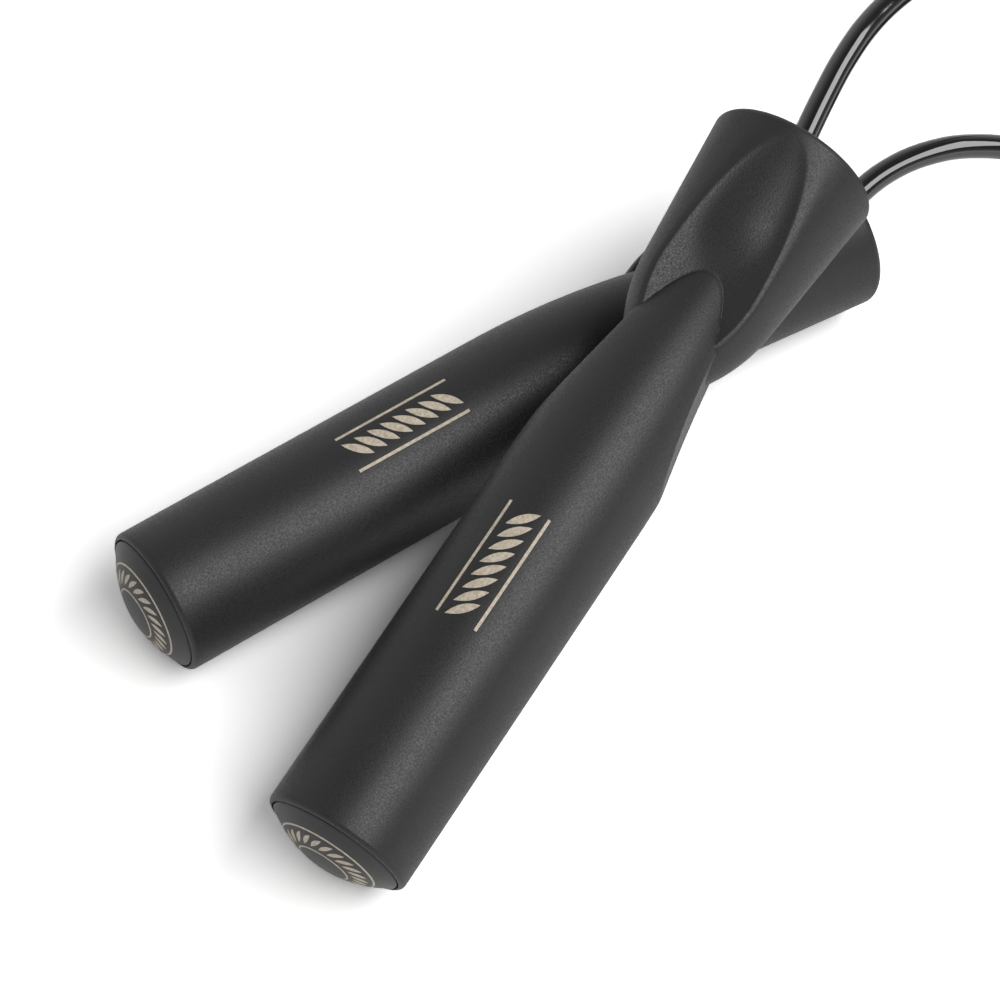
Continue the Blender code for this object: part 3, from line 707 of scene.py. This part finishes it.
def ball_bm(index):
    """One bearing ball on the pitch circle."""
    angle = math.tau * index / BALL_COUNT
    place = Vector((PITCH_RADIUS * math.cos(angle), PITCH_RADIUS * math.sin(angle), BEARING_MIDDLE))
    bm = bmesh.new()
    bmesh.ops.create_icosphere(bm, subdivisions=4, radius=BALL_RADIUS, matrix=Matrix.Translation(place))
    return bm


# Cord and strap

def smooth_route(points, step):
    """Points at an even step along a smooth curve through the route's points."""
    tangents = []
    for i in range(len(points)):
        before = points[max(i - 1, 0)]
        after = points[min(i + 1, len(points) - 1)]
        tangents.append((after - before).normalized())
    fine = []
    for i in range(len(points) - 1):
        span = (points[i + 1] - points[i]).length
        for k in range(ROUTE_FINENESS):
            t = k / ROUTE_FINENESS
            h1 = 2 * t ** 3 - 3 * t ** 2 + 1
            h2 = t ** 3 - 2 * t ** 2 + t
            h3 = t ** 3 - t ** 2
            ends = points[i] * h1 + points[i + 1] * (1 - h1)
            fine.append(ends + (tangents[i] * h2 + tangents[i + 1] * h3) * span)
    fine.append(points[-1])
    along = [0.0]
    for a, b in zip(fine, fine[1:]):
        along.append(along[-1] + (b - a).length)
    count = max(2, round(along[-1] / step))
    route = []
    k = 0
    for i in range(count + 1):
        target = along[-1] * i / count
        while k < len(along) - 2 and along[k + 1] < target:
            k += 1
        t = (target - along[k]) / (along[k + 1] - along[k])
        route.append(fine[k].lerp(fine[k + 1], min(max(t, 0), 1)))
    return route


def coil_points():
    """One unbroken spiral: in, out, in and out again, a layer higher at each reversal."""
    turns = COIL_FULL_TURNS + (COIL_END_ANGLE - COIL_START_ANGLE) / math.tau
    per_layer = turns / COIL_LAYERS
    count = round(turns * COIL_POINTS_PER_TURN)
    base = TIE_THICKNESS + TIE_CLEARANCE + CORD_RADIUS
    points = []
    for i in range(count + 1):
        done = turns * i / count
        layer = min(int(done / per_layer), COIL_LAYERS - 1)
        inward = done - layer * per_layer
        if layer % 2:
            inward = per_layer - inward
        radius = COIL_OUTER_RADIUS - COIL_PITCH * inward
        height = base
        for reversal in range(1, COIL_LAYERS):
            t = (done - reversal * per_layer) / COIL_CLIMB_TURNS + 0.5
            t = min(max(t, 0), 1)
            height += COIL_LAYER_STEP * (3 * t ** 2 - 2 * t ** 3)
        angle = COIL_START_ANGLE + math.tau * done
        points.append(COIL_CENTRE + Vector((radius * math.cos(angle), radius * math.sin(angle), height)))
    start = Vector((-math.sin(COIL_START_ANGLE), math.cos(COIL_START_ANGLE), 0))
    end = Vector((-math.sin(COIL_END_ANGLE), math.cos(COIL_END_ANGLE), 0))
    return [points[0] - start * COIL_LEAD] + points + [points[-1] + end * COIL_LEAD]


def run_points(place, route, meet):
    """A free stretch: straight out of the handle, then along its route to the coil."""
    tail = [place @ Vector((0, 0, z)) for z in (CORD_TAIL_START, CORD_TAIL_END)]
    outside = [Vector(point) * MM for point in route]
    return smooth_route([tail[0], tail[0].lerp(tail[1], 0.5), tail[1]] + outside + [meet], ROUTE_STEP)


def make_cord(places, finish):
    """The whole cord as one curve, from the upper handle through the coil to the lower handle."""
    coil = coil_points()
    upper = run_points(places["upper"], UPPER_ROUTE_MM, coil[-1])
    lower = run_points(places["lower"], LOWER_ROUTE_MM, coil[0])
    points = upper[:-1] + coil[::-1] + lower[-2::-1]
    curve = bpy.data.curves.new("cord", "CURVE")
    curve.dimensions = "3D"
    curve.bevel_depth = CORD_RADIUS
    curve.bevel_resolution = CORD_BEVEL_STEPS
    curve.resolution_u = CORD_STEPS
    curve.use_fill_caps = True
    spline = curve.splines.new("BEZIER")
    spline.bezier_points.add(len(points) - 1)
    for knot, point in zip(spline.bezier_points, points):
        knot.co = point
        knot.handle_left_type = "AUTO"
        knot.handle_right_type = "AUTO"
    ob = bpy.data.objects.new("cord", curve)
    bpy.context.scene.collection.objects.link(ob)
    curve.materials.append(finish)
    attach(ob, "rope")
    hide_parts("upper_cord_run", "lower_cord_run", "cord_coil")
    return ob


class StrapPath:
    """Round-cornered loop about the coil's bundle, at a distance from the strap's inside."""

    def __init__(self, grow):
        top = TIE_THICKNESS + 2 * TIE_CLEARANCE + 2 * CORD_RADIUS + COIL_LAYER_STEP * (COIL_LAYERS - 1)
        corner = TIE_CORNER + grow
        left = TIE_INNER - grow + corner
        right = TIE_OUTER + grow - corner
        low = TIE_THICKNESS - grow + corner
        high = top + grow - corner
        steps = STRAP_CORNER_STEPS
        loop = arc(left, high, corner, 180, 90, steps) + arc(right, high, corner, 90, 0, steps)
        loop += arc(right, low, corner, 0, -90, steps) + arc(left, low, corner, -90, -180, steps)
        self.points = np.array(loop + loop[:1])
        lengths = np.hypot(*np.diff(self.points, axis=0).T)
        self.along = np.concatenate([[0], np.cumsum(lengths)])
        self.length = self.along[-1]
        self.place = Matrix.Translation(COIL_CENTRE) @ Matrix.Rotation(TIE_ANGLE, 4, "Z")

    def at(self, along):
        """Place on the loop at a distance along it."""
        return np.array([np.interp(along % self.length, self.along, self.points[:, k]) for k in (0, 1)])

    def carry(self, along, across, lift):
        """From along, across and lift to the place in the world."""
        x, z = self.at(along)
        ahead = self.at(along + STRAP_PROBE) - self.at(along - STRAP_PROBE)
        ahead = ahead / np.hypot(*ahead)
        return self.place @ Vector((x - lift * ahead[1], across, z + lift * ahead[0]))


def strip_mesh(name, path, start, end, width, thickness, round_end):
    """A flat strip of webbing along a path, with its length and width as UV in millimetres."""
    bm = bmesh.new()
    bmesh.ops.create_grid(bm, x_segments=STRAP_SEGMENTS[0], y_segments=STRAP_SEGMENTS[1], size=0.5)
    for vert in bm.verts:
        along = start + (vert.co.x + 0.5) * (end - start)
        taper = 1.0
        if round_end:
            past = max(along - end + width / 2, 0) / (width / 2)
            taper = max(math.sqrt(1 - past ** 2), TAB_TIP_SHARE)
        vert.co = (along, vert.co.y * width * taper, 0)
    weave = bm.loops.layers.uv.new("weave")
    for face in bm.faces:
        for loop in face.loops:
            loop[weave].uv = (loop.vert.co.x / MM, loop.vert.co.y / MM)
    wrapped(bm, path.carry)
    bmesh.ops.remove_doubles(bm, verts=bm.verts, dist=MERGE)
    bmesh.ops.recalc_face_normals(bm, faces=bm.faces)
    bmesh.ops.solidify(bm, geom=list(bm.faces), thickness=thickness)
    bmesh.ops.recalc_face_normals(bm, faces=bm.faces)
    return closed_mesh(name, bm, sharp=60)


def stitch_bm(path):
    """Box of stitches that holds the tab's sewn end."""
    bm = bmesh.new()
    width = 2 * STITCH_ACROSS
    rows = int(width / STITCH_PITCH)
    columns = [STITCH_START + i * STITCH_PITCH for i in range(STITCH_COLUMNS)]
    places = [(along, side * STITCH_ACROSS, 0) for along in columns for side in (-1, 1)]
    for i in range(1, rows):
        for along in (columns[0], columns[-1]):
            places.append((along, -STITCH_ACROSS + i * width / rows, math.pi / 2))
    for along, over, turn in places:
        shape = Matrix.Translation((along, over, 0)) @ Matrix.Rotation(turn, 4, "Z")
        shape = shape @ Matrix.Diagonal((*STITCH_SIZE, 1))
        bmesh.ops.create_icosphere(bm, subdivisions=2, radius=1, matrix=shape)
    return wrapped(bm, path.carry)


# Finishes

def new_finish(name, colour, roughness, metallic=0.0):
    """A node material with its shader, its nodes and its links."""
    made = bpy.data.materials.new(name)
    made.use_nodes = True
    nodes = made.node_tree.nodes
    shader = nodes["Principled BSDF"]
    shader.inputs["Base Color"].default_value = (*colour, 1)
    shader.inputs["Roughness"].default_value = roughness
    shader.inputs["Metallic"].default_value = metallic
    return made, shader, nodes, made.node_tree.links


def noise(nodes, links, scale, detail):
    """Noise on Object coordinates."""
    texture = nodes.new("ShaderNodeTexNoise")
    texture.inputs["Scale"].default_value = scale
    texture.inputs["Detail"].default_value = detail
    links.new(nodes.new("ShaderNodeTexCoord").outputs["Object"], texture.inputs["Vector"])
    return texture.outputs["Fac"]


def mapped(nodes, links, value, low, high, from_low=0.3, from_high=0.7):
    """A value carried from one range to another."""
    node = nodes.new("ShaderNodeMapRange")
    node.inputs["From Min"].default_value = from_low
    node.inputs["From Max"].default_value = from_high
    node.inputs["To Min"].default_value = low
    node.inputs["To Max"].default_value = high
    links.new(value, node.inputs["Value"])
    return node.outputs["Result"]


def bump(nodes, links, height, strength, distance):
    """Bump from a height."""
    node = nodes.new("ShaderNodeBump")
    node.inputs["Strength"].default_value = strength
    node.inputs["Distance"].default_value = distance
    links.new(height, node.inputs["Height"])
    return node.outputs["Normal"]


def mixed(nodes, links, share, first, second):
    """Between two values, by a share."""
    node = nodes.new("ShaderNodeMix")
    links.new(share, node.inputs["Factor"])
    links.new(first, node.inputs["A"])
    links.new(second, node.inputs["B"])
    return node.outputs["Result"]


def added(nodes, links, first, second):
    """Sum of two values."""
    node = nodes.new("ShaderNodeMath")
    links.new(first, node.inputs[0])
    links.new(second, node.inputs[1])
    return node.outputs["Value"]


def shaded(nodes, links, share, dark, light):
    """Between two colours, by a share."""
    node = nodes.new("ShaderNodeMix")
    node.data_type = "RGBA"
    node.inputs["A"].default_value = (*dark, 1)
    node.inputs["B"].default_value = (*light, 1)
    links.new(share, node.inputs["Factor"])
    return node.outputs["Result"]


def handle_finish():
    """Matt black moulded plastic: fine grain on the grip, a coarser spark grain in the leaves."""
    made, shader, nodes, links = new_finish("moulded_black_plastic", (0.02, 0.02, 0.0203), roughness=0.45)
    leaf = nodes.new("ShaderNodeAttribute")
    leaf.attribute_name = "leaf"
    fine = noise(nodes, links, scale=3000, detail=1.0)
    coarse = noise(nodes, links, scale=2700, detail=1.5)
    cloud = noise(nodes, links, scale=45, detail=3.0)
    sparkle = mixed(
        nodes, links, leaf.outputs["Fac"],
        mapped(nodes, links, fine, low=0.35, high=0.58),
        mapped(nodes, links, coarse, low=0.32, high=0.66),
    )
    grain = mixed(
        nodes, links, leaf.outputs["Fac"],
        mapped(nodes, links, fine, low=0.0, high=0.5),
        mapped(nodes, links, coarse, low=0.0, high=0.9),
    )
    tone = shaded(
        nodes, links, mapped(nodes, links, cloud, low=0, high=1),
        dark=(0.0185, 0.0185, 0.0188), light=(0.0225, 0.0225, 0.0227),
    )
    links.new(tone, shader.inputs["Base Color"])
    links.new(sparkle, shader.inputs["Roughness"])
    links.new(bump(nodes, links, grain, strength=0.4, distance=0.00006), shader.inputs["Normal"])
    return made


def cap_finish():
    """Satin black moulded plastic."""
    made, shader, nodes, links = new_finish("satin_black_plastic", (0.016, 0.016, 0.0164), roughness=0.4)
    fine = noise(nodes, links, scale=3000, detail=2.0)
    cloud = noise(nodes, links, scale=120, detail=2.0)
    tone = shaded(
        nodes, links, mapped(nodes, links, cloud, low=0, high=1),
        dark=(0.014, 0.014, 0.0143), light=(0.019, 0.019, 0.0192),
    )
    links.new(tone, shader.inputs["Base Color"])
    links.new(mapped(nodes, links, fine, low=0.36, high=0.44), shader.inputs["Roughness"])
    links.new(bump(nodes, links, fine, strength=0.15, distance=0.00006), shader.inputs["Normal"])
    return made


def print_finish():
    """Champagne print, a little worn and mottled."""
    made, shader, nodes, links = new_finish("champagne_print", (0.6, 0.52, 0.41), roughness=0.5)
    mottle = noise(nodes, links, scale=1500, detail=4.0)
    tone = shaded(
        nodes, links, mapped(nodes, links, mottle, low=0, high=1),
        dark=(0.44, 0.37, 0.285), light=(0.66, 0.585, 0.47),
    )
    links.new(tone, shader.inputs["Base Color"])
    links.new(mapped(nodes, links, mottle, low=0.42, high=0.58), shader.inputs["Roughness"])
    return made


def cord_finish():
    """Glossy extruded black PVC."""
    made, shader, nodes, links = new_finish("glossy_black_pvc", (0.006, 0.006, 0.0063), roughness=0.06)
    shader.inputs["Specular IOR Level"].default_value = 1.0
    shader.inputs["Coat Weight"].default_value = 0.5
    shader.inputs["Coat Roughness"].default_value = 0.05
    drawn = noise(nodes, links, scale=240, detail=2.0)
    links.new(mapped(nodes, links, drawn, low=0.045, high=0.085), shader.inputs["Roughness"])
    return made


def steel_finish():
    """Ground bearing steel."""
    made, shader, nodes, links = new_finish(
        "ground_bearing_steel", (0.56, 0.57, 0.58), roughness=0.22, metallic=1.0,
    )
    ground = noise(nodes, links, scale=900, detail=4.0)
    links.new(mapped(nodes, links, ground, low=0.16, high=0.3), shader.inputs["Roughness"])
    return made


def zinc_finish():
    """Zinc plated steel."""
    made, shader, nodes, links = new_finish(
        "zinc_plated_steel", (0.62, 0.63, 0.64), roughness=0.35, metallic=1.0,
    )
    cloudy = noise(nodes, links, scale=500, detail=3.0)
    links.new(mapped(nodes, links, cloudy, low=0.28, high=0.45), shader.inputs["Roughness"])
    return made


def nylon_finish():
    """Natural nylon."""
    made, shader, nodes, links = new_finish("natural_nylon", (0.72, 0.70, 0.64), roughness=0.45)
    milky = noise(nodes, links, scale=700, detail=3.0)
    links.new(mapped(nodes, links, milky, low=0.38, high=0.52), shader.inputs["Roughness"])
    return made


def strap_finish():
    """Woven strap: ribs across its width with a loop pile over them."""
    made, shader, nodes, links = new_finish("woven_black_strap", (0.02, 0.02, 0.021), roughness=0.85)
    place = nodes.new("ShaderNodeUVMap")
    place.uv_map = "weave"
    ribs = nodes.new("ShaderNodeTexWave")
    ribs.inputs["Scale"].default_value = 0.42
    ribs.inputs["Distortion"].default_value = 0.6
    links.new(place.outputs["UV"], ribs.inputs["Vector"])
    pile = noise(nodes, links, scale=2600, detail=3.0)
    height = added(nodes, links, ribs.outputs["Fac"], pile)
    tone = shaded(
        nodes, links, mapped(nodes, links, pile, low=0, high=1),
        dark=(0.012, 0.012, 0.0125), light=(0.032, 0.032, 0.033),
    )
    links.new(tone, shader.inputs["Base Color"])
    links.new(mapped(nodes, links, pile, low=0.75, high=0.95), shader.inputs["Roughness"])
    links.new(bump(nodes, links, height, strength=0.7, distance=0.0002), shader.inputs["Normal"])
    shader.inputs["Sheen Weight"].default_value = 0.25
    return made


def thread_finish():
    """Twisted sewing thread."""
    made, shader, nodes, links = new_finish("black_sewing_thread", (0.035, 0.035, 0.036), roughness=0.6)
    twist = noise(nodes, links, scale=6000, detail=2.0)
    links.new(mapped(nodes, links, twist, low=0.5, high=0.7), shader.inputs["Roughness"])
    links.new(bump(nodes, links, twist, strength=0.4, distance=0.00005), shader.inputs["Normal"])
    return made


# Stage

def make_camera():
    """The photograph's camera."""
    camera = bpy.data.cameras.new("camera")
    camera.lens = CAMERA_LENS
    camera.sensor_width = CAMERA_SENSOR
    camera.clip_start = CAMERA_CLIP
    ob = bpy.data.objects.new("camera", camera)
    ob.location = CAMERA_PLACE
    ob.rotation_euler = (CAMERA_TARGET - CAMERA_PLACE).to_track_quat("-Z", "Y").to_euler()
    bpy.context.scene.collection.objects.link(ob)
    bpy.context.scene.camera = ob


def background_tone(nodes, links):
    """The floor's tone: white to the camera, a gloss or a glass, pale where it lights the object."""
    path = nodes.new("ShaderNodeLightPath")
    shown = mapped(nodes, links, path.outputs["Is Camera Ray"], FLOOR_COLOUR, FLOOR_SHOWN, 0, 1)
    mirrors = added(nodes, links, path.outputs["Is Glossy Ray"], path.outputs["Is Transmission Ray"])
    mirrored = mapped(nodes, links, mirrors, 0, FLOOR_MIRRORED - FLOOR_COLOUR, 0, 1)
    return added(nodes, links, shown, mirrored)


def plain_white_share(nodes, links):
    """Where the camera sees the floor as plain white: well away from the object and its shadow."""
    away = nodes.new("ShaderNodeVectorMath")
    away.operation = "LENGTH"
    links.new(nodes.new("ShaderNodeTexCoord").outputs["Object"], away.inputs[0])
    share = nodes.new("ShaderNodeMath")
    share.operation = "MULTIPLY"
    far = mapped(nodes, links, away.outputs["Value"], 0, 1, PLAIN_WHITE_START, PLAIN_WHITE_FULL)
    links.new(far, share.inputs[0])
    links.new(nodes.new("ShaderNodeLightPath").outputs["Is Camera Ray"], share.inputs[1])
    return share.outputs["Value"]


def make_floor():
    """A wide pale floor that shows white to the camera outside the shadows."""
    bm = bmesh.new()
    bmesh.ops.create_grid(bm, x_segments=1, y_segments=1, size=FLOOR_HALF_SIZE)
    mesh = bpy.data.meshes.new("floor")
    bm.to_mesh(mesh)
    bm.free()
    ob = bpy.data.objects.new("floor", mesh)
    ob.location = (0, 0, FLOOR_HEIGHT)
    bpy.context.scene.collection.objects.link(ob)
    made = bpy.data.materials.new("pale_floor")
    made.use_nodes = True
    nodes = made.node_tree.nodes
    links = made.node_tree.links
    nodes.remove(nodes["Principled BSDF"])
    paper = nodes.new("ShaderNodeBsdfDiffuse")
    links.new(background_tone(nodes, links), paper.inputs["Color"])
    surface = nodes.new("ShaderNodeMixShader")
    links.new(plain_white_share(nodes, links), surface.inputs[0])
    links.new(paper.outputs["BSDF"], surface.inputs[1])
    links.new(nodes.new("ShaderNodeEmission").outputs["Emission"], surface.inputs[2])
    links.new(surface.outputs["Shader"], nodes["Material Output"].inputs["Surface"])
    mesh.materials.append(made)


def make_light(name, place, target, size, power):
    """A soft rectangular lamp aimed at a point."""
    lamp = bpy.data.lights.new(name, "AREA")
    lamp.shape = "RECTANGLE"
    lamp.size = size[0]
    lamp.size_y = size[1]
    lamp.energy = power
    ob = bpy.data.objects.new(name, lamp)
    ob.location = place
    ob.rotation_euler = (Vector(target) - Vector(place)).to_track_quat("-Z", "Y").to_euler()
    bpy.context.scene.collection.objects.link(ob)


def facing(nodes, links, direction):
    """How far the surround faces a direction, from -1 to 1."""
    node = nodes.new("ShaderNodeVectorMath")
    node.operation = "DOT_PRODUCT"
    node.inputs[1].default_value = direction
    links.new(nodes.new("ShaderNodeTexCoord").outputs["Generated"], node.inputs[0])
    return node.outputs["Value"]


def make_world():
    """White walls round a dim ceiling that lies over the softbox."""
    world = bpy.data.worlds.new("studio")
    bpy.context.scene.world = world
    world.use_nodes = True
    nodes = world.node_tree.nodes
    links = world.node_tree.links
    near = facing(nodes, links, NEAR_WALL_SIDE)
    wall = mapped(nodes, links, near, FAR_WALL_LIGHT, NEAR_WALL_LIGHT, -1, 1)
    above = facing(nodes, links, CEILING_MIDDLE)
    ceiling = mapped(nodes, links, above, 0, 1, 0, CEILING_EDGE)
    light = nodes.new("ShaderNodeMix")
    links.new(ceiling, light.inputs["Factor"])
    links.new(wall, light.inputs["A"])
    light.inputs["B"].default_value = CEILING_LIGHT
    nodes["Background"].inputs["Color"].default_value = (1, 1, 1, 1)
    links.new(light.outputs["Result"], nodes["Background"].inputs["Strength"])


def make_stage():
    """Camera, floor, softbox and surround."""
    make_camera()
    make_floor()
    make_world()
    make_light("key_softbox", SOFTBOX_PLACE, SOFTBOX_TARGET, SOFTBOX_SIZE, SOFTBOX_POWER)
    bpy.context.scene.view_settings.view_transform = "Standard"


def make_finishes():
    """Every finish by its slot's name, with the print's and the thread's."""
    return {
        "handle_plastic": handle_finish(),
        "cap_plastic": cap_finish(),
        "bearing_steel": steel_finish(),
        "nylon": nylon_finish(),
        "plated_steel": zinc_finish(),
        "cord_pvc": cord_finish(),
        "strap": strap_finish(),
        "thread": thread_finish(),
        "print": print_finish(),
    }


def turned_parts():
    """Node, profile, slot and carrier of each turned part of a handle."""
    outer_ring = ring_profile(BEARING_OUTER_RADIUS, OUTER_LAND_RADIUS, 1)
    inner_ring = ring_profile(BEARING_BORE_RADIUS, INNER_LAND_RADIUS, -1)
    return (
        ("end_cap", end_cap_profile(), "cap_plastic", "handle"),
        ("head_cap", head_cap_profile(), "cap_plastic", "handle"),
        ("bearing_outer_ring", outer_ring, "bearing_steel", "handle"),
        ("bearing_inner_ring", inner_ring, "bearing_steel", "rope"),
        ("cord_bush", bush_profile(), "nylon", "rope"),
        ("cord_washer", washer_profile(), "plated_steel", "rope"),
        ("cord_stop", stop_profile(), "plated_steel", "rope"),
    )


def make_handle(prefix, place, shell, finishes):
    """One handle where it lies: shell, prints, caps, bearing and cord fittings."""
    bodies = {"handle": prefix + "_handle", "rope": "rope"}
    mesh = shell.copy()
    mesh.transform(place)
    add_piece(
        prefix + "_shell", mesh, bodies["handle"], finishes["handle_plastic"], "handle_plastic",
        prefix + "_handle_shell",
    )
    prints = (("grip_print", grip_print_bm(PRINT_ANGLES[prefix])), ("cap_print", cap_print_bm()))
    for name, bm in prints:
        mesh = closed_mesh(name, bm, sharp=60)
        mesh.transform(place)
        add_piece(prefix + "_" + name, mesh, bodies["handle"], finishes["print"], "handle_plastic")
    for part, profile, slot, carrier in turned_parts():
        node = prefix + "_" + part
        mesh = closed_mesh(part, spun(profile))
        mesh.transform(place)
        add_piece(prefix + "_fine_" + part, mesh, bodies[carrier], finishes[slot], slot, node)
    steel = finishes["bearing_steel"]
    for i in range(BALL_COUNT):
        node = "%s_bearing_ball_%d" % (prefix, i + 1)
        mesh = closed_mesh("ball", ball_bm(i), sharp=180)
        mesh.transform(place)
        add_piece(node + "_fine", mesh, prefix + "_ball_set", steel, "bearing_steel", node)
    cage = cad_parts[prefix + "_bearing_cage"]
    cage.data.materials.clear()
    cage.data.materials.append(finishes["nylon"])


def make_strap(finishes):
    """The strap round the coil, its loose tab and the tab's stitches."""
    inside = StrapPath(TIE_THICKNESS)
    outside = StrapPath(TIE_THICKNESS + TAB_THICKNESS)
    band = strip_mesh("strap", inside, 0, inside.length, TIE_WIDTH, TIE_THICKNESS, False)
    tab = strip_mesh("strap_tab", outside, TAB_START, TAB_END, TIE_WIDTH, TAB_THICKNESS, True)
    stitches = closed_mesh("stitches", stitch_bm(outside), sharp=180)
    return [
        add_piece("coil_strap", band, "rope", finishes["strap"], "strap", "coil_tie"),
        add_piece("coil_strap_tab", tab, "rope", finishes["strap"], "strap"),
        add_piece("coil_strap_stitches", stitches, "rope", finishes["thread"], "strap"),
    ]


def main():
    make_stage()
    finishes = make_finishes()
    places = {prefix: place_of(*lie) for prefix, lie in HANDLES.items()}
    shell = paint_shell(shell_mesh("shell"))
    for prefix, place in places.items():
        make_handle(prefix, place, shell, finishes)
    strap_pieces = make_strap(finishes)
    cord = make_cord(places, finishes["cord_pvc"])


main()
